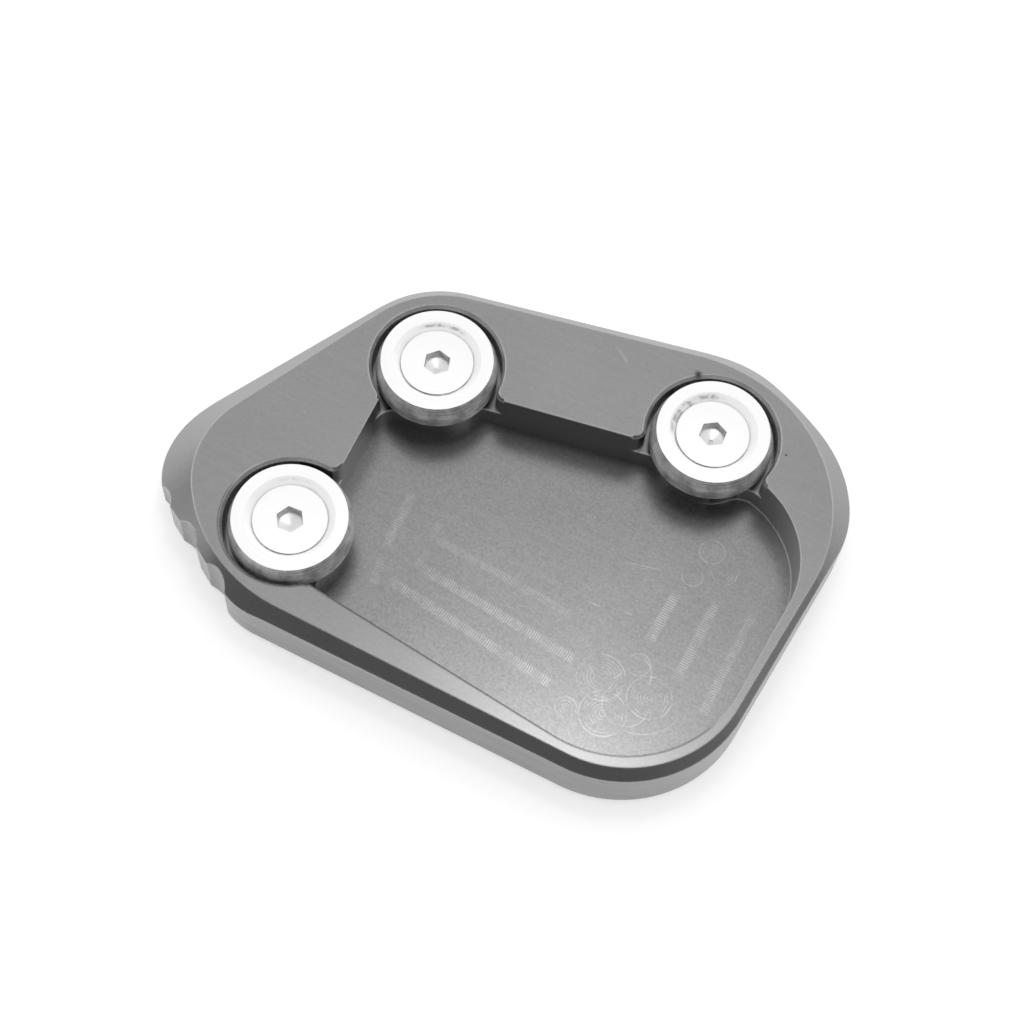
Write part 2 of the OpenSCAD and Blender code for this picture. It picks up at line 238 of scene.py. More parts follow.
class MillStrip(Effect):
    """Cross ripple that a milling cutter leaves along one straight pass of the pocket floor."""

    name = "mill_strip"
    values = {
        "Start X": 0.0,
        "Start Y": 0.0,
        "Turn": 0.0,
        "Length": 0.01,
        "Half Width": 0.001,
        "Pitch": 0.0004,
        "Bow": 0.2,
        "Patch": 1.0,
        "Wear": 1.0,
    }
    outputs = ("Mask", "Ripple")
    # Fades at the sides in half widths and at the ends in metres, and how thin the crests are
    side_fade: Span = (0.55, 1.15, 1.0, 0.0)
    near_fade: Span = (0.0, 0.0022)
    far_fade: Span = (0.0, 0.0016)
    crest_power = 2.5

    def build(self, tree: Tree, given: bpy.types.NodeOutputs) -> dict[str, bpy.types.NodeSocket]:
        """Mask is 1 inside the strip, and Ripple has thin crests across it, bent at its sides."""
        x, y, _ = tree.split(given["Vector"])
        dx = tree.math("SUBTRACT", x, given["Start X"])
        dy = tree.math("SUBTRACT", y, given["Start Y"])
        cos = tree.math("COSINE", given["Turn"])
        sin = tree.math("SINE", given["Turn"])
        along = tree.plus(tree.times(dx, cos), tree.times(dy, sin))
        across = tree.minus(tree.times(dy, cos), tree.times(dx, sin))
        share = tree.math("DIVIDE", across, given["Half Width"])
        side = tree.ramp(tree.math("ABSOLUTE", share), *self.side_fade)
        near = tree.ramp(along, *self.near_fade)
        far = tree.ramp(tree.minus(given["Length"], along), *self.far_fade)
        mask = tree.times(tree.times(side, near), tree.times(far, given["Patch"]))
        bow = tree.times(tree.times(share, share), given["Bow"])
        turns = tree.plus(tree.math("DIVIDE", along, given["Pitch"]), bow)
        wave = tree.math("SINE", tree.times(turns, math.tau))
        crest = tree.math("POWER", tree.plus(0.5, tree.times(wave, 0.5)), self.crest_power)
        return {"Mask": mask, "Ripple": tree.times(crest, given["Wear"])}


class ToolRing(Effect):
    """Thin ring, or part of one: bright where the cutter dwelt or turned on the pocket floor, and also
    the mask of the pits, the arcs of painted shade on the washers and the curl in a socket.
    """

    name = "tool_ring"
    values = {
        "Centre X": 0.0,
        "Centre Y": 0.0,
        "Radius": 0.003,
        "Width": 0.00012,
        "Middle": 0.0,
        "Half Angle": 4.0,
        "Fill": 0.0,
        "Fill Pitch": 0.00052,
        "Patch": 1.0,
        "Wear": 1.0,
    }
    # Fade of the finer rings in metres, their share of the outer one, and its ends in radians
    fill_fade: Span = (0.0, 0.0003)
    fill_share = 0.6
    end_fade: Span = (0.0, 0.4)

    def build(self, tree: Tree, given: bpy.types.NodeOutputs) -> dict[str, bpy.types.NodeSocket]:
        """Mask is 1 on the ring, near its middle angle, with finer rings inside it by Fill."""
        x, y, _ = tree.split(given["Vector"])
        dx = tree.math("SUBTRACT", x, given["Centre X"])
        dy = tree.math("SUBTRACT", y, given["Centre Y"])
        square = tree.math("ADD", tree.math("MULTIPLY", dx, dx), tree.math("MULTIPLY", dy, dy))
        inside = tree.math("SUBTRACT", given["Radius"], tree.math("SQRT", square))
        off = tree.math("ABSOLUTE", inside)
        line = tree.ramp(tree.math("DIVIDE", off, given["Width"]), 0.0, 1.0, 1.0, 0.0)
        turns = tree.math("DIVIDE", inside, given["Fill Pitch"])
        wave = tree.math("SINE", tree.times(turns, math.tau))
        within = tree.times(tree.ramp(inside, *self.fill_fade), given["Fill"])
        fine = tree.times(tree.math("MAXIMUM", wave, 0.0), tree.times(within, given["Patch"]))
        line = tree.math("MAXIMUM", line, tree.times(fine, self.fill_share))
        angle = tree.minus(tree.math("ARCTAN2", dy, dx), given["Middle"])
        angle = tree.math("ABSOLUTE", tree.math("WRAP", angle, math.pi, -math.pi))
        reach = tree.ramp(tree.minus(given["Half Angle"], angle), *self.end_fade)
        return {"Mask": tree.times(tree.times(line, reach), given["Wear"])}


class Speckle(Effect):
    """Fine grain with scattered pale specks, as on anodised aluminium."""

    name = "speckle"
    values = {"Grain Scale": 2600.0, "Speck Scale": 700.0, "Speck Size": 0.09}
    outputs = ("Grain", "Specks")
    # Share of the cells that hold no speck
    empty_cells = 0.9

    def build(self, tree: Tree, given: bpy.types.NodeOutputs) -> dict[str, bpy.types.NodeSocket]:
        """Grain is noise about a half, and Specks are small round dots in some cells."""
        grain = tree.noise(given["Vector"], given["Grain Scale"], FINE_DETAIL)
        cells = tree.node("TexVoronoi", {"Vector": given["Vector"], "Scale": given["Speck Scale"]})
        dot = tree.math("LESS_THAN", cells.outputs["Distance"], given["Speck Size"])
        chance = tree.split(cells.outputs["Color"])[0]
        lucky = tree.math("GREATER_THAN", chance, self.empty_cells)
        return {"Grain": grain, "Specks": tree.times(dot, lucky)}


class Streaks(Effect):
    """Long fine streaks along one direction, from a drawn or milled surface."""

    name = "streaks"
    values = {"Along": 30.0, "Across": 2500.0}
    outputs = ("Streak",)

    def build(self, tree: Tree, given: bpy.types.NodeOutputs) -> dict[str, bpy.types.NodeSocket]:
        """Noise that is stretched along the vector's first part and fine along the other two."""
        x, y, z = tree.split(given["Vector"])
        stretched = tree.join(
            tree.math("MULTIPLY", x, given["Along"]),
            tree.math("MULTIPLY", y, given["Across"]),
            tree.math("MULTIPLY", z, given["Across"]),
        )
        return {"Streak": tree.noise(stretched, 1.0, FINE_DETAIL)}


class LevelStreaks(Effect):
    """Fine streaks along a wall, level with the ground, from the side of a milling cutter."""

    name = "level_streaks"
    values = {"Along": 90.0, "Upward": 3600.0}
    outputs = ("Streak",)

    def build(self, tree: Tree, given: bpy.types.NodeOutputs) -> dict[str, bpy.types.NodeSocket]:
        """Noise that changes slowly along x and y and quickly with height."""
        x, y, z = tree.split(given["Vector"])
        squeezed = tree.join(
            tree.math("MULTIPLY", x, given["Along"]),
            tree.math("MULTIPLY", y, given["Along"]),
            tree.math("MULTIPLY", z, given["Upward"]),
        )
        return {"Streak": tree.noise(squeezed, 1.0, FINE_DETAIL)}


class TurnedRings(Effect):
    """Fine rings that a lathe tool leaves round an axis."""

    name = "turned_rings"
    values = {"Pitch": 0.00012}
    outputs = ("Ring", "Streak")
    # Scales of the streak noise, per radian round the axis and per metre across it
    round_scale = 0.9
    cross_scale = 5200.0

    def build(self, tree: Tree, given: bpy.types.NodeOutputs) -> dict[str, bpy.types.NodeSocket]:
        """Ring is a sine of the radius and height, and Streak noise that is long round the axis."""
        x, y, z = tree.split(given["Vector"])
        square = tree.math("ADD", tree.math("MULTIPLY", x, x), tree.math("MULTIPLY", y, y))
        radius = tree.math("SQRT", square)
        run = tree.math("ADD", radius, z)
        turns = tree.math("DIVIDE", run, given["Pitch"])
        ring = tree.math("SINE", tree.times(turns, math.tau))
        angle = tree.math("ARCTAN2", y, x)
        fine = tree.join(
            tree.times(angle, self.round_scale),
            tree.times(radius, self.cross_scale),
            tree.times(z, self.cross_scale),
        )
        return {"Ring": ring, "Streak": tree.noise(fine, 1.0, FINE_DETAIL)}


@dataclass(frozen=True)
class Effects:
    """The node groups that the finishes share."""

    strip: MillStrip = field(default_factory=MillStrip)
    ring: ToolRing = field(default_factory=ToolRing)
    speckle: Speckle = field(default_factory=Speckle)
    streaks: Streaks = field(default_factory=Streaks)
    level: LevelStreaks = field(default_factory=LevelStreaks)
    turned: TurnedRings = field(default_factory=TurnedRings)


@dataclass(frozen=True)
class Pass:
    """One straight pass of the cutter on the pocket floor, in millimetres."""

    start: Point
    end: Point
    half_width: float = 0.9
    strength: float = 1.0
    pitch: float = 0.42

    def inputs(self) -> dict[str, float]:
        """Returns the strip group's inputs in metres and radians."""
        run = np.subtract(self.end, self.start)
        return {
            "Start_X": self.start[0] * MM,
            "Start_Y": self.start[1] * MM,
            "Turn": math.atan2(run[1], run[0]),
            "Length": float(np.hypot(*run)) * MM,
            "Half_Width": self.half_width * MM,
            "Pitch": self.pitch * MM,
        }


@dataclass(frozen=True)
class Ring:
    """One ring, arc or dot, in millimetres and degrees: the cutter's rings on the pocket floor, the
    pits, the painted shade round the washers' countersinks and the curl of swarf in a socket.
    """

    centre: Point
    radius: float
    middle: float = 0.0
    half_angle: float = 230.0
    width: float = 0.13
    fill: float = 0.0

    def inputs(self) -> dict[str, float]:
        """Returns the ring group's inputs in metres and radians."""
        return {
            "Fill": self.fill,
            "Centre_X": self.centre[0] * MM,
            "Centre_Y": self.centre[1] * MM,
            "Radius": self.radius * MM,
            "Width": self.width * MM,
            "Middle": math.radians(self.middle),
            "Half_Angle": math.radians(self.half_angle),
        }


@dataclass(frozen=True)
class PlatePoint:
    """Where a point of the plate lies, as node outputs: masks from 0 to 1 unless named otherwise."""

    # Place, its y alone, the face's normal, and the way out from the part's upright axis
    spot: Socket
    y: Socket
    normal: Socket
    flank: Socket
    flat: Socket
    wall: Socket
    on_floor: Socket
    above: Socket
    lit_foot: Socket
    open_edge: Socket
    inner_wall: Socket
    # The normal as a rounded edge would have it
    soft: Socket


@dataclass(frozen=True)
class PlateFinish:
    """Satin titanium-grey anodising over milled faces, with the cutter's marks in the pocket."""

    pale: Colour = (0.62, 0.62, 0.62)
    light: Colour = (0.36, 0.36, 0.362)
    dark: Colour = (0.22, 0.22, 0.223)
    # Colour of the painted shade along the front rim, also given to the pits
    rim_shade_colour: Colour = (0.04, 0.04, 0.04)
    # Painted shade: a dark line along the pocket's front rim, standing for the shade of its narrow
    # chamfer: its reach in mm, its depth, and the y where it ends
    lip_radius: float = 0.62
    lip_depth: float = 0.96
    lip_span: Span = (0.985, 1.0, 1.0, 0.0)
    front_y: Point = (-24.0, -19.0)
    # Painted highlight along the edges, where a small rounding catches light: colour, loss of metal,
    # reach in mm, and how far the soft normal has to lean
    edge_highlight_share: float = 0.9
    edge_bloom: float = 0.45
    edge_radius: float = 0.4
    edge_highlight_span: Span = (0.935, 0.975, 1.0, 0.0)
    bevel_samples: int = 4
    # Pocket walls: how far they are painted pale as painted light and how blurred they are, and the x
    # in mm past which they catch light and are painted fully pale
    wall_lift: float = 0.6
    wall_blur: float = 0.12
    lit_wall_blur: float = 0.16
    lit_foot_x: Point = (26.0, 34.0)
    # The floor's height in mm, and fades over it for the floor and for the foot of the walls
    floor_z: float = 4.0
    floor_fade: Point = (0.3, 0.8)
    foot_fade: Point = (0.6, 1.2)
    # Upward part of the normal on a level face and on a wall
    flat_span: Span = (0.97, 0.999)
    wall_span: Span = (0.1, 0.3, 1.0, 0.0)
    # Noises, and how they patch and wear the marks on the floor
    cloud_scale: float = 60.0
    coarse_scale: float = 420.0
    fine_scale: float = 1000.0
    patch_span: Span = (0.34, 0.56, 0.35, 1.0)
    fill_span: Span = (0.42, 0.6)
    wear_span: Span = (0.3, 0.6, 0.5, 1.0)
    ring_wear_span: Span = (0.4, 0.6, 0.25, 1.0)
    # Shares in the tone
    grain_share: float = 0.45
    floor_grain: float = 0.75
    cloud_share: float = 0.3
    streak_share: float = 0.25
    level_share: float = 1.6
    floor_shade: float = 0.16
    wall_shade: float = 0.22
    # Shares in what is brightened
    line_share: float = 0.02
    ripple_share: float = 0.6
    ring_share: float = 0.36
    speck_share: float = 0.25
    # Roughness and bump
    roughness: float = 0.28
    rough_spread: float = 0.08
    grain_height: float = 0.25
    bump_strength: float = 0.35
    scratches: tuple[Pass, ...] = (
        Pass((21.5, -0.1), (28.6, 1.8), 0.08, 0.32),
        Pass((18.8, -9.2), (23.2, -8.7), 0.08, 0.25),
        Pass((25.0, -7.9), (28.2, -7.6), 0.08, 0.25),
        Pass((3.9, 30.9), (7.6, 28.6), 0.35, 0.3),
    )
    pits: tuple[Ring, ...] = (
        Ring((18.5, 32.6), 0.0, width=1.0),
        Ring((37.6, 26.1), 0.0, width=0.35),
        Ring((33.4, 28.2), 0.0, width=0.3),
    )
    passes: tuple[Pass, ...] = (
        Pass((-8.0, -11.2), (19.6, -12.5), 0.8, 0.55),
        Pass((-6.5, -16.9), (23.6, -19.1), 0.95, 0.9),
        Pass((-10.0, -21.3), (22.2, -24.6), 0.95, 0.9),
        Pass((32.1, 0.2), (31.8, -11.0), 1.0, 1.0),
        Pass((38.4, 1.8), (38.6, -14.8), 0.95, 0.8),
        Pass((44.5, 2.6), (44.7, -18.0), 0.85, 0.7),
        Pass((-14.1, -4.9), (-13.0, -17.0), 0.8, 0.7),
        Pass((-6.6, -13.0), (-6.9, -17.6), 0.8, 0.5),
        Pass((-7.4, -7.6), (-7.4, -12.2), 0.7, 0.5),
        Pass((-12.8, -18.0), (-11.3, -24.0), 0.8, 0.6),
    )
    rings: tuple[Ring, ...] = (
        Ring((27.9, -19.6), 3.9, fill=1.0),
        Ring((36.2, -19.0), 3.6, fill=1.0),
        Ring((30.9, -24.9), 3.8, fill=1.0),
        Ring((32.2, -14.8), 1.9, fill=0.5),
        Ring((25.3, -26.7), 1.7, fill=1.0),
        Ring((33.4, -21.8), 3.7, -100.0, 120.0),
        Ring((27.6, -16.8), 2.9, -75.0, 75.0),
        Ring((31.5, -16.9), 3.6, 40.0, 50.0),
        Ring((34.6, -18.6), 7.2, -50.0, 45.0),
        Ring((33.9, 8.6), 2.1, fill=0.8),
        Ring((37.3, 6.2), 2.1, -70.0, 100.0, fill=0.8),
        Ring((33.0, 3.1), 1.7, -60.0, 120.0, fill=0.4),
        Ring((22.8, 9.1), 9.0, -74.0, 17.0),
        Ring((21.2, -14.0), 5.0, 90.0, 15.0),
        Ring((26.7, -10.7), 3.0, 90.0, 16.0),
    )

    def make(self, effects: Effects) -> bpy.types.Material:
        """Builds the material.

        Args:
            effects: the shared node groups.

        Returns:
            The plate's material.
        """
        material = bpy.data.materials.new("anodised_plate")
        material.use_nodes = True
        tree = Tree(material.node_tree)
        at = self.survey(tree)
        speckle = effects.speckle.use(tree, at.spot)
        cloud = tree.noise(at.spot, self.cloud_scale, FINE_DETAIL)
        coarse = tree.noise(at.spot, self.coarse_scale)
        patch = tree.ramp(coarse, *self.patch_span)
        # Painted highlight where the soft normal leans from the face's own, kept off the unlit foot of
        # the walls
        edge_highlight = tree.ramp(tree.dot(at.soft, at.normal), *self.edge_highlight_span)
        edge_highlight = tree.times(edge_highlight, at.open_edge)
        # Painted shade along the pocket's front rim, with the darkened pits
        rim_shade_and_pit_mask = self.rim_shade_and_pits(tree, effects, at)

        bright = self.floor_marks(tree, effects, at, coarse, patch)
        bright = tree.plus(bright, tree.times(speckle["Specks"], self.speck_share))
        bright = tree.plus(bright, tree.times(edge_highlight, self.edge_highlight_share))
        for one in self.scratches:
            mark = effects.strip.use(tree, at.spot, Patch=patch, **one.inputs())["Mask"]
            bright = tree.plus(bright, tree.times(mark, one.strength))

        tone = self.tone(tree, effects, at, speckle["Grain"], cloud)
        # Painted light: the pocket's walls are painted paler, fully so where they catch light
        wall_painted_light = tree.plus(self.wall_lift, tree.times(at.lit_foot, 1.0 - self.wall_lift))
        base = tree.mix(tone, self.dark, self.light)
        base = tree.mix(tree.times(at.inner_wall, wall_painted_light), base, self.pale)
        base = tree.mix(tree.math("MINIMUM", bright, 1.0), base, self.pale)
        # Paints the rim's shade line and the pits dark
        base = tree.mix(rim_shade_and_pit_mask, base, self.rim_shade_colour)

        # The painted edge highlight also loses metal, except on the rim's painted shade
        matt_highlight = tree.times(edge_highlight, tree.minus(1.0, rim_shade_and_pit_mask))
        metal = tree.minus(1.0, tree.times(matt_highlight, self.edge_bloom))
        low_rough = self.roughness - 0.5 * self.rough_spread
        rough = tree.plus(low_rough, tree.times(cloud, self.rough_spread))
        blur = tree.plus(self.wall_blur, tree.times(at.lit_foot, self.lit_wall_blur))
        rough = tree.plus(rough, tree.times(at.inner_wall, blur))

        bent = tree.node("Mix", data_type="VECTOR")
        tree.put(bent.inputs["Factor"], at.open_edge)
        tree.put(bent.inputs[4], at.normal)
        tree.put(bent.inputs[5], at.soft)
        height = tree.times(speckle["Grain"], self.grain_height)
        tree.surface(base, metal, rough, height, bent.outputs[1], self.bump_strength)
        return material

    def survey(self, tree: Tree) -> PlatePoint:
        """Works out where a point lies.

        A wall of the pocket is told from an outer one by its normal, which points towards the
        part's upright axis.
        """
        spot = tree.node("TexCoord").outputs["Object"]
        x, y, z = tree.split(spot)
        normal = tree.node("NewGeometry").outputs["Normal"]
        up = tree.split(normal)[2]
        flat = tree.ramp(up, *self.flat_span)
        low = tree.ramp(z, *self.heights(self.floor_fade), 1.0, 0.0)
        wall = tree.ramp(tree.math("ABSOLUTE", up), *self.wall_span)
        flank = tree.join(x, y, 0.0)
        inward = tree.math("LESS_THAN", tree.dot(normal, flank), 0.0)
        above = tree.ramp(z, *self.heights(self.foot_fade))
        lit_foot = tree.ramp(x, *(edge * MM for edge in self.lit_foot_x))
        soft = tree.node("Bevel", {"Radius": self.edge_radius * MM}, samples=self.bevel_samples)
        return PlatePoint(
            spot=spot,
            y=y,
            normal=normal,
            flank=flank,
            flat=flat,
            wall=wall,
            on_floor=tree.times(flat, low),
            above=above,
            lit_foot=lit_foot,
            open_edge=tree.math("MAXIMUM", above, lit_foot),
            inner_wall=tree.times(inward, wall),
            soft=soft.outputs[0],
        )

    def heights(self, fade: Point) -> Point:
        """Returns two heights over the pocket floor as heights in the frame, in metres."""
        return (self.floor_z + fade[0]) * MM, (self.floor_z + fade[1]) * MM

    def floor_marks(
        self, tree: Tree, effects: Effects, at: PlatePoint, coarse: Socket, patch: Socket
    ) -> Socket:
        """Returns how far the cutter's passes and rings brighten the pocket floor.

        Args:
            tree: the material's tree.
            effects: the shared node groups.
            at: where the point lies.
            coarse: the noise that wears the rings.
            patch: how well a pass shows in this patch.
        """
        wear = tree.ramp(tree.noise(at.spot, self.fine_scale), *self.wear_span)
        lines: object = 0.0
        ripples: object = 0.0
        for one in self.passes:
            made = effects.strip.use(tree, at.spot, Patch=patch, Wear=wear, **one.inputs())
            part = tree.times(made["Mask"], one.strength)
            lines = tree.plus(lines, part)
            ripples = tree.plus(ripples, tree.times(made["Ripple"], part))
        fill_patch = tree.ramp(coarse, *self.fill_span)
        ring_wear = tree.ramp(coarse, *self.ring_wear_span)
        rings: object = 0.0
        for one in self.rings:
            given = {"Patch": fill_patch, "Wear": ring_wear, **one.inputs()}
            rings = tree.plus(rings, effects.ring.use(tree, at.spot, **given)["Mask"])
        marks = tree.times(lines, self.line_share)
        marks = tree.plus(marks, tree.times(ripples, self.ripple_share))
        marks = tree.plus(marks, tree.times(rings, self.ring_share))
        return tree.times(marks, at.on_floor)

    def tone(
        self, tree: Tree, effects: Effects, at: PlatePoint, grain: Socket, cloud: Socket
    ) -> Socket:
        """Returns the tone from dark to light: grain, clouds and streaks about a middle.

        Args:
            tree: the material's tree.
            effects: the shared node groups.
            at: where the point lies.
            grain: the fine noise.
            cloud: the wide noise.
        """
        streak = effects.streaks.use(tree, at.spot, Along=40.0, Across=2200.0)["Streak"]
        level = effects.level.use(tree, at.spot)["Streak"]
        grainy = tree.plus(self.grain_share, tree.times(at.on_floor, self.floor_grain))
        tone = tree.centred(grain, grainy)
        tone = tree.plus(tone, tree.centred(cloud, self.cloud_share))
        tone = tree.plus(tone, tree.centred(streak, self.streak_share))
        tone = tree.plus(tone, tree.times(tree.centred(level, self.level_share), at.wall))
        tone = tree.minus(tone, tree.times(at.on_floor, self.floor_shade))
        tone = tree.minus(tone, tree.times(at.wall, self.wall_shade))
        return tree.plus(tone, 0.5)

    def rim_shade_and_pits(self, tree: Tree, effects: Effects, at: PlatePoint) -> Socket:
        """Returns how far the pocket's front rim is darkened as painted shade of its chamfer, and how
        far the pits in the top are darkened.
        """
        bevel = tree.node("Bevel", {"Radius": self.lip_radius * MM}, samples=self.bevel_samples)
        wide = bevel.outputs[0]
        inward = tree.math("LESS_THAN", tree.dot(wide, at.flank), 0.0)
        lip = tree.times(tree.ramp(tree.dot(wide, at.normal), *self.lip_span), inward)
        lip = tree.times(lip, tree.times(at.flat, at.above))
        front = tree.ramp(at.y, *(edge * MM for edge in self.front_y), 1.0, 0.0)
        lip = tree.times(lip, front)
        for one in self.pits:
            lip = tree.plus(lip, effects.ring.use(tree, at.spot, **one.inputs())["Mask"])
        return tree.times(tree.math("MINIMUM", lip, 1.0), self.lip_depth)


@dataclass(frozen=True)
class TurnedFinish:
    """Pale turned metal with lathe rings about one screw's axis."""

    name: str
    centre: Point
    colour: Colour = (0.96, 0.96, 0.963)
    shade: Colour = (0.87, 0.87, 0.874)
    roughness: float = 0.34
    ring_pitch: float = 0.16
    ring_depth: float = 0.25
    # Colour of the upright sides, painted darker than the top as painted shade
    side_painted_shade: Colour = (0.36, 0.36, 0.36)
    top_bloom: float = 0.5
    slope_bloom: float = 0.95
    side_bloom: float = 0.28
    bottom_bloom: float = 0.35
    socket_radius: float = 2.6
    # Dark arcs: painted shade round a washer's countersink, where its slope faces away from the light;
    # in a screw, a dark curl of swarf
    dark_arcs: tuple[Ring, ...] = ()
    dark_arc_depth: float = 0.8
    dark_arc_colour: Colour = (0.3, 0.3, 0.3)
    # Upward part of the normal on upright faces, slopes, the socket's bottom and level faces
    side_span: Span = (0.4, 0.6, 1.0, 0.0)
    slope_from: Span = (0.5, 0.65)
    slope_to: Span = (0.8, 0.95, 1.0, 0.0)
    bottom_span: Span = (0.6, 0.75)
    top_span: Span = (0.9, 0.99)
    # Noises, and the share of the first one where two are blended
    grain_scale: float = 1800.0
    tone_streak: float = 0.9
    blotch_scale: float = 380.0
    blotch_roughness: float = 0.65
    side_blotch: float = 0.6
    uneven_span: Span = (0.3, 0.68)
    wear_scale: float = 900.0
    wear_span: Span = (0.36, 0.58, 0.25, 1.0)
    # Roughness, bump, and the reach in mm of the soft edges
    rough_spread: float = 0.16
    matt_rough: float = 0.15
    bump_strength: float = 0.3
    edge_radius: float = 0.1
    bevel_samples: int = 6

    def make(self, effects: Effects) -> bpy.types.Material:
        """Builds the material.

        Args:
            effects: the shared node groups.

        Returns:
            The material of a washer or a screw.
        """
        material = bpy.data.materials.new(self.name)
        material.use_nodes = True
        tree = Tree(material.node_tree)
        spot = tree.node("TexCoord").outputs["Object"]
        place = (-self.centre[0] * MM, -self.centre[1] * MM, 0.0)
        local = tree.node("Mapping", {"Vector": spot, "Location": place}).outputs[0]
        turned = effects.turned.use(tree, local, Pitch=self.ring_pitch * MM)
        streak = turned["Streak"]
        up = tree.split(tree.node("NewGeometry").outputs["Normal"])[2]
        side = tree.ramp(tree.math("ABSOLUTE", up), *self.side_span)
        slope = tree.times(tree.ramp(up, *self.slope_from), tree.ramp(up, *self.slope_to))

        base = self.shades(tree, effects, local, streak, side)
        metal = tree.minus(1.0, self.bloom(tree, local, up, side, slope))
        low_rough = self.roughness - 0.5 * self.rough_spread
        rough = tree.plus(low_rough, tree.times(streak, self.rough_spread))
        rough = tree.plus(rough, tree.times(tree.math("MAXIMUM", slope, side), self.matt_rough))
        lathe = tree.times(turned["Ring"], tree.minus(1.0, side))
        height = tree.plus(tree.times(lathe, self.ring_depth), streak)
        soft = tree.node("Bevel", {"Radius": self.edge_radius * MM}, samples=self.bevel_samples)
        tree.surface(base, metal, rough, height, soft.outputs[0], self.bump_strength)
        return material

    def shades(
        self, tree: Tree, effects: Effects, local: Socket, streak: Socket, side: Socket
    ) -> Socket:
        """Returns the colour: streaked on top, painted darker and blotched on the sides as painted
        shade, and dark along the arcs: painted shade round a washer's countersink, a curl of swarf in
        a screw's socket.

        Args:
            tree: the material's tree.
            effects: the shared node groups.
            local: the place about the screw's axis.
            streak: the lathe's streaks.
            side: 1 on an upright face.
        """
        grain = effects.speckle.use(tree, local, Grain_Scale=self.grain_scale)["Grain"]
        tone = tree.plus(
            tree.times(streak, self.tone_streak), tree.times(grain, 1.0 - self.tone_streak)
        )
        base = tree.mix(tone, self.shade, self.colour)
        blotch = tree.noise(local, self.blotch_scale, FINE_DETAIL, self.blotch_roughness)
        uneven = tree.plus(
            tree.times(blotch, self.side_blotch), tree.times(streak, 1.0 - self.side_blotch)
        )
        uneven = tree.ramp(uneven, *self.uneven_span)
        # Painted shade: the upright sides are painted darker, in blotches
        base = tree.mix(side, base, tree.mix(uneven, self.side_painted_shade, self.colour))
        wear = tree.ramp(tree.noise(local, self.wear_scale), *self.wear_span)
        # Arcs of painted shade round a washer's countersink, and a screw's curl of swarf
        marks: object = 0.0
        for one in self.dark_arcs:
            arc_mask = effects.ring.use(tree, local, Wear=wear, **one.inputs())["Mask"]
            marks = tree.plus(marks, arc_mask)
        marks = tree.times(tree.math("MINIMUM", marks, 1.0), tree.minus(1.0, side))
        return tree.mix(tree.times(marks, self.dark_arc_depth), base, self.dark_arc_colour)

    def bloom(self, tree: Tree, local: Socket, up: Socket, side: Socket, slope: Socket) -> Socket:
        """Returns how far the metal scatters light like a matt surface.

        Args:
            tree: the material's tree.
            local: the place about the screw's axis.
            up: the upward part of the normal.
            side: 1 on an upright face.
            slope: 1 on a slope of about 45 degrees.
        """
        level_place = tree.vector("MULTIPLY", local, (1.0, 1.0, 0.0)).outputs[0]
        axis = tree.vector("LENGTH", level_place).outputs["Value"]
        bottom = tree.math("LESS_THAN", axis, self.socket_radius * MM)
        bottom = tree.times(bottom, tree.ramp(up, *self.bottom_span))
        bloom = tree.times(tree.times(slope, tree.minus(1.0, bottom)), self.slope_bloom)
        bloom = tree.plus(bloom, tree.times(bottom, self.bottom_bloom))
        bloom = tree.plus(bloom, tree.times(side, self.side_bloom))
        level = tree.times(tree.ramp(up, *self.top_span), self.top_bloom)
        return tree.math("MAXIMUM", bloom, level)


def dress(node: str, material: bpy.types.Material) -> None:
    """Gives a CAD node its material.

    Args:
        node: the node's name.
        material: the finish.
    """
    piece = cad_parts[node]
    piece.data.materials.clear()
    piece.data.materials.append(material)
    log.info("%s wears %s", node, material.name)


@dataclass
class Plate:
    """The plate with its pocket, recesses, bevels and scallops."""

    node: str = "base_plate"
    finish: PlateFinish = field(default_factory=PlateFinish)

    def build(self, effects: Effects) -> None:
        """Dresses the plate."""
        dress(self.node, self.finish.make(effects))


@dataclass
class ClampPoint:
    """One clamp washer with its countersunk screw, about one axis."""

    place: Place
    centre: Point
    # Arcs of painted shade round the washer's countersink, where its slope faces away from the light
    dark_arcs: tuple[Ring, ...]
    dark_arc_depth: float = 0.8
    curls: tuple[Ring, ...] = ()

    def build(self, effects: Effects) -> None:
        """Dresses the washer and its screw."""
        name = self.place.value
        washer = TurnedFinish(
            f"turned_washer_{name}", self.centre, dark_arcs=self.dark_arcs, dark_arc_depth=self.dark_arc_depth
        )
        dress(f"clamp_washer_{name}", washer.make(effects))
        screw = TurnedFinish(
            f"satin_screw_{name}",
            self.centre,
            colour=(0.96, 0.96, 0.965),
            shade=(0.9, 0.9, 0.91),
            ring_pitch=0.22,
            ring_depth=0.1,
            side_bloom=0.0,
            dark_arcs=self.curls,
            dark_arc_colour=(0.08, 0.08, 0.08),
        )
        dress(f"socket_screw_{name}", screw.make(effects))


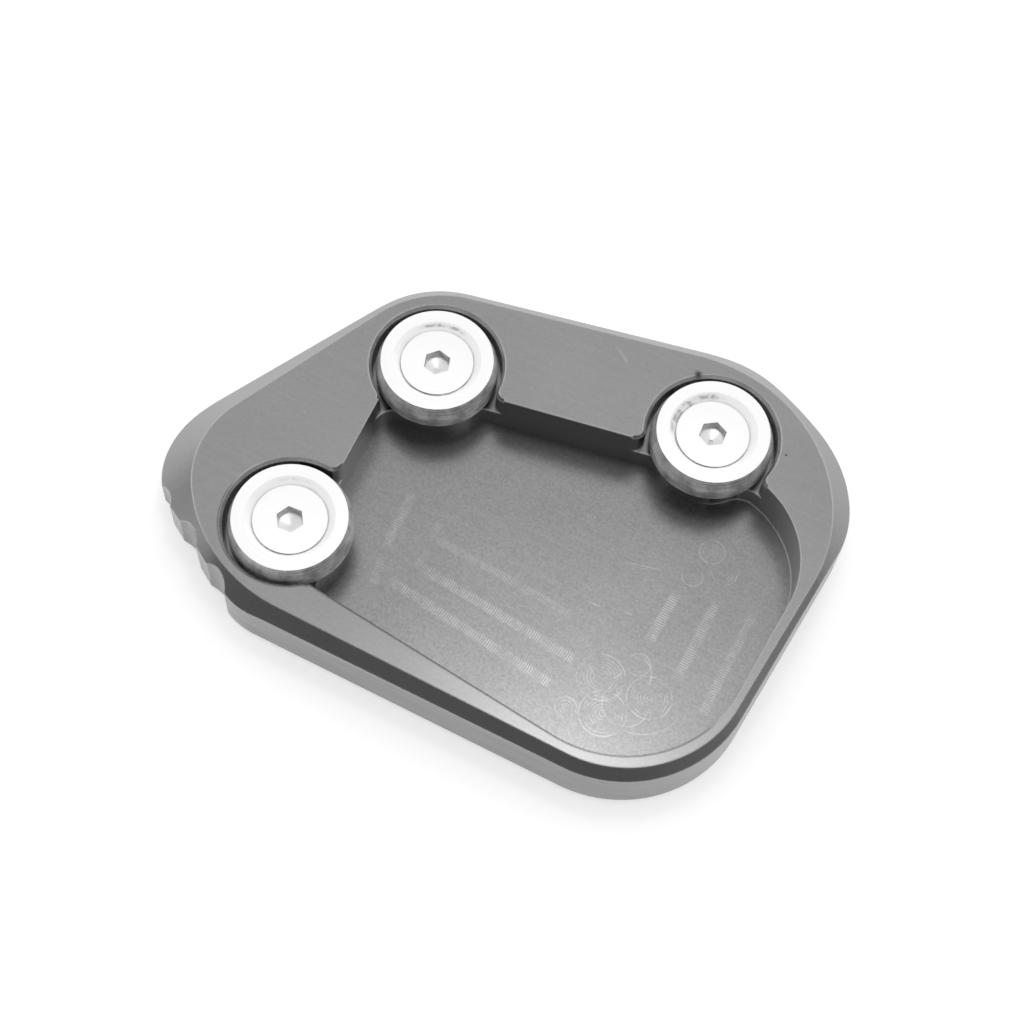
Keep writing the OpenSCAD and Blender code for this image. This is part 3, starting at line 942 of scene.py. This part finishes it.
@dataclass(frozen=True)
class Card:
    """A flat studio card, seen by the metal only. Sizes and places are in metres."""

    name: str
    centre: tuple[float, float, float]
    across: tuple[float, float, float]
    upward: tuple[float, float, float]
    grey: float

    def build(self) -> bpy.types.Object:
        """Builds the card as a grid: centre + u * across + v * upward, with u and v from -1 to 1.

        Returns:
            The card's object.
        """
        u, v = np.meshgrid(np.linspace(-1, 1, 2), np.linspace(-1, 1, 2))
        points = (
            np.array(self.centre)
            + u.reshape(-1, 1) * np.array(self.across)
            + v.reshape(-1, 1) * np.array(self.upward)
        )
        mesh = bpy.data.meshes.new(self.name)
        mesh.from_pydata(points.tolist(), [], [(0, 1, 3, 2)])
        material = bpy.data.materials.new(self.name)
        material.use_nodes = True
        tree = Tree(material.node_tree)
        glow = tree.node("Emission", {"Color": (self.grey, self.grey, self.grey), "Strength": 1.0})
        out = tree.node("OutputMaterial")
        tree.put(out.inputs["Surface"], glow.outputs[0])
        mesh.materials.append(material)
        card = bpy.data.objects.new(self.name, mesh)
        bpy.context.scene.collection.objects.link(card)
        card.visible_camera = False
        card.visible_diffuse = False
        card.visible_shadow = False
        card.visible_transmission = False
        return card


@dataclass
class Studio:
    """White floor, soft lamps, plain cards and the camera of the photograph."""

    camera_at: tuple[float, float, float] = (0.05974, -0.1315, 0.30445)
    camera_right: tuple[float, float, float] = (0.88009, 0.47341, 0.03623)
    camera_down: tuple[float, float, float] = (0.44182, -0.78864, -0.42757)
    camera_ahead: tuple[float, float, float] = (-0.17385, 0.39231, -0.90325)
    lens: float = 71.232
    cards: Sequence[Card] = (
        Card("card_front", (0.0, -1.3, 0.75), (1.8, 0.0, 0.0), (0.0, 0.1, 0.75), 0.2),
        Card("card_above_front", (0.0, -0.85, 1.75), (1.8, 0.0, 0.0), (0.0, 0.6, 0.15), 0.1),
        Card("card_right", (1.4, 0.2, 0.7), (0.0, 1.4, 0.0), (0.0, 0.0, 0.7), 0.25),
        # A dark sheet lying on the floor left of the object, seen only in reflections: painted shade
        # that stands for a darker floor there
        Card("shade_sheet_low_left", (-0.26, -0.12, 0.001), (0.14, 0.0, 0.0), (0.0, 0.12, 0.0), 0.25),
    )

    def floor(self) -> None:
        """Builds the floor: a wide grid at z = 0 that shows white and keeps the shadow."""
        u, v = np.meshgrid(np.linspace(-4, 4, 2), np.linspace(-4, 4, 2))
        points = np.stack([u.ravel(), v.ravel(), np.full(u.size, -0.00005)], axis=1)
        mesh = bpy.data.meshes.new("floor")
        mesh.from_pydata(points.tolist(), [], [(0, 1, 3, 2)])
        material = bpy.data.materials.new("floor")
        material.use_nodes = True
        tree = Tree(material.node_tree)
        white = tree.node("BsdfDiffuse", {"Color": (0.7, 0.7, 0.7)})
        strength = self.seen(tree, 0.0, 0.42)
        glow = tree.node("Emission", {"Color": (1.0, 1.0, 1.0), "Strength": strength})
        both = tree.node("AddShader", {0: white.outputs[0], 1: glow.outputs[0]})
        out = tree.node("OutputMaterial")
        tree.put(out.inputs["Surface"], both.outputs[0])
        mesh.materials.append(material)
        floor = bpy.data.objects.new("floor", mesh)
        bpy.context.scene.collection.objects.link(floor)

    def seen(self, tree: Tree, unseen: float, seen: float) -> bpy.types.NodeSocket:
        """Returns a value that is seen for camera, glossy and transmission rays, else unseen."""
        path = tree.node("LightPath").outputs
        sight = tree.math("MAXIMUM", path["Is Camera Ray"], path["Is Glossy Ray"])
        sight = tree.math("MAXIMUM", sight, path["Is Transmission Ray"])
        return tree.math("ADD", unseen, tree.math("MULTIPLY", sight, seen - unseen))

    def world(self) -> None:
        """Sets the world: white where it is seen, a soft fill elsewhere."""
        world = bpy.data.worlds.new("studio")
        bpy.context.scene.world = world
        world.use_nodes = True
        tree = Tree(world.node_tree)
        strength = self.seen(tree, 0.95, 1.0)
        sky = tree.node("Background", {"Color": (1.0, 1.0, 1.0), "Strength": strength})
        out = tree.node("OutputWorld")
        tree.put(out.inputs["Surface"], sky.outputs[0])

    def lamp(
        self,
        name: str,
        at: tuple[float, float, float],
        size: float,
        power: float,
        mirrored: bool = True,
    ) -> None:
        """Adds a round lamp that faces the object.

        Args:
            name: the lamp's name.
            at: where it stands, in metres.
            size: its diameter in metres.
            power: its power in watts.
            mirrored: whether metal mirrors the lamp itself, and not only what it lights.
        """
        data = bpy.data.lights.new(name, "AREA")
        data.shape = "DISK"
        data.size = size
        data.energy = power
        lamp = bpy.data.objects.new(name, data)
        bpy.context.scene.collection.objects.link(lamp)
        away = np.array(at) / np.linalg.norm(at)
        side = np.cross((0.0, 1.0, 0.0), away)
        side = side / np.linalg.norm(side)
        turned = np.eye(4)
        turned[:3, 0] = side
        turned[:3, 1] = np.cross(away, side)
        turned[:3, 2] = away
        turned[:3, 3] = at
        lamp.matrix_world = Matrix(turned.tolist())
        lamp.visible_glossy = mirrored

    def camera(self) -> None:
        """Sets the camera at the photograph's view."""
        data = bpy.data.cameras.new("camera")
        data.lens = self.lens
        data.sensor_width = 36.0
        data.clip_start = 0.01
        eye = bpy.data.objects.new("camera", data)
        bpy.context.scene.collection.objects.link(eye)
        turned = np.eye(4)
        turned[:3, 0] = self.camera_right
        turned[:3, 1] = np.negative(self.camera_down)
        turned[:3, 2] = np.negative(self.camera_ahead)
        turned[:3, 3] = self.camera_at
        eye.matrix_world = Matrix(turned.tolist())
        bpy.context.scene.camera = eye

    def build(self) -> None:
        """Builds the whole studio."""
        self.camera()
        self.world()
        self.floor()
        for card in self.cards:
            card.build()
        self.lamp("lamp_top", (0.0, 0.05, 0.37), 0.065, 0.1)
        self.lamp("lamp_back", (-0.1, 1.3, 0.2), 0.5, 6.0, mirrored=False)
        bpy.context.scene.view_settings.view_transform = "Standard"
        log.info("studio: floor, %d cards, 2 lamps, camera", len(self.cards))


def main() -> None:
    logging.basicConfig(level=logging.INFO, format="%(message)s")
    effects = Effects()
    Plate().build(effects)
    for point in (
        ClampPoint(
            Place.FRONT_LEFT,
            (-26.46, -23.21),
            (Ring((0.0, 0.0), 6.9, 119.0, 35.0, 0.4),),
            dark_arc_depth=0.2,
        ),
        ClampPoint(
            Place.BACK_LEFT,
            (-20.06, 13.09),
            (Ring((0.0, 0.0), 6.8, 112.0, 42.0, 0.35), Ring((0.0, 0.0), 6.3, -75.0, 50.0, 0.2)),
        ),
        ClampPoint(
            Place.BACK_RIGHT,
            (25.54, 23.49),
            (Ring((0.0, 0.0), 6.7, 155.0, 62.0, 0.55), Ring((0.0, 0.0), 6.25, 190.0, 60.0, 0.2)),
            curls=(Ring((0.2, -0.45), 0.32, 200.0, 150.0, 0.18),),
        ),
    ):
        point.build(effects)
    Studio().build()


if __name__ == "__main__":
    main()
